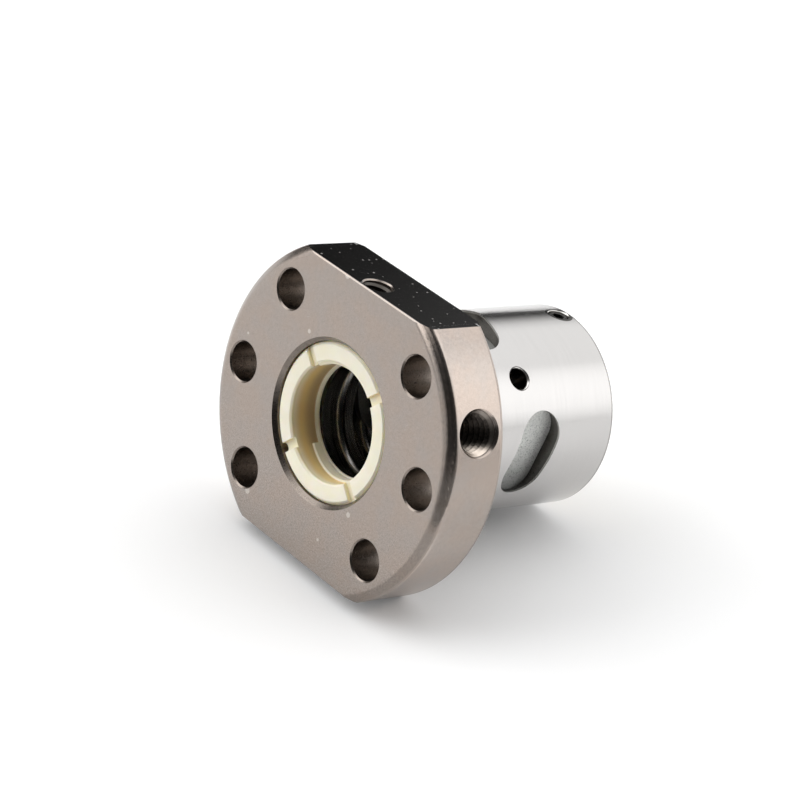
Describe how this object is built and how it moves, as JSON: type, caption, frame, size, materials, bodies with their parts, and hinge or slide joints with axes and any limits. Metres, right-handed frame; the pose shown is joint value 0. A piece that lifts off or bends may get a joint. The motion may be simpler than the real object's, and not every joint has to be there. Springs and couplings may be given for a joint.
{
  "type": "ball screw nut",
  "caption": "Flanged cylindrical ball nut for a lead screw, with flats on the flange, end wipers, return caps in slanted barrel pockets and a lubrication port in the rim.",
  "frame": {"origin": "on the nut's axis, in the plane of the flange's mounting face, the one that the barrel stands on", "axes": "+Y along the axis from the flange into the barrel, +Z the normal of the upper flat, +X along the flats towards the side of the lubrication port"},
  "size_m": [0.048, 0.04, 0.04],
  "materials": {
    "nut_steel": "hardened steel, satin on the flange and bright ground on the barrel",
    "wiper_plastic": "natural ivory, slightly translucent",
    "cap_metal": "matte grey, as sintered",
    "ball_steel": "polished bearing steel",
    "screw_steel": "black oxide"
  },
  "bodies": {
    "nut": {"nut_body": "nut_steel", "front_wiper": "wiper_plastic", "rear_wiper": "wiper_plastic", "front_lock_screw": "screw_steel", "rear_lock_screw": "screw_steel", "return_cap_1": "cap_metal", "return_cap_2": "cap_metal", "return_cap_3": "cap_metal", "return_cap_4": "cap_metal", "return_balls_1": "ball_steel", "return_balls_2": "ball_steel", "return_balls_3": "ball_steel", "return_balls_4": "ball_steel"},
    "train_1": {"loaded_balls_1": "ball_steel"},
    "train_2": {"loaded_balls_2": "ball_steel"},
    "train_3": {"loaded_balls_3": "ball_steel"},
    "train_4": {"loaded_balls_4": "ball_steel"}
  },
  "joints": [
    {"name": "circulate_1", "type": "hinge", "parent": "nut", "child": "train_1", "pos_m": [0, 0, 0], "axis": [0, 1, 0], "range_deg": [-6, 6]},
    {"name": "circulate_2", "type": "hinge", "parent": "nut", "child": "train_2", "pos_m": [0, 0, 0], "axis": [0, 1, 0], "range_deg": [-6, 6]},
    {"name": "circulate_3", "type": "hinge", "parent": "nut", "child": "train_3", "pos_m": [0, 0, 0], "axis": [0, 1, 0], "range_deg": [-6, 6]},
    {"name": "circulate_4", "type": "hinge", "parent": "nut", "child": "train_4", "pos_m": [0, 0, 0], "axis": [0, 1, 0], "range_deg": [-6, 6]}
  ],
  "couplings": [
    {"joint": "circulate_2", "follows": "circulate_1", "ratio": 1},
    {"joint": "circulate_3", "follows": "circulate_1", "ratio": 1},
    {"joint": "circulate_4", "follows": "circulate_1", "ratio": 1}
  ]
}
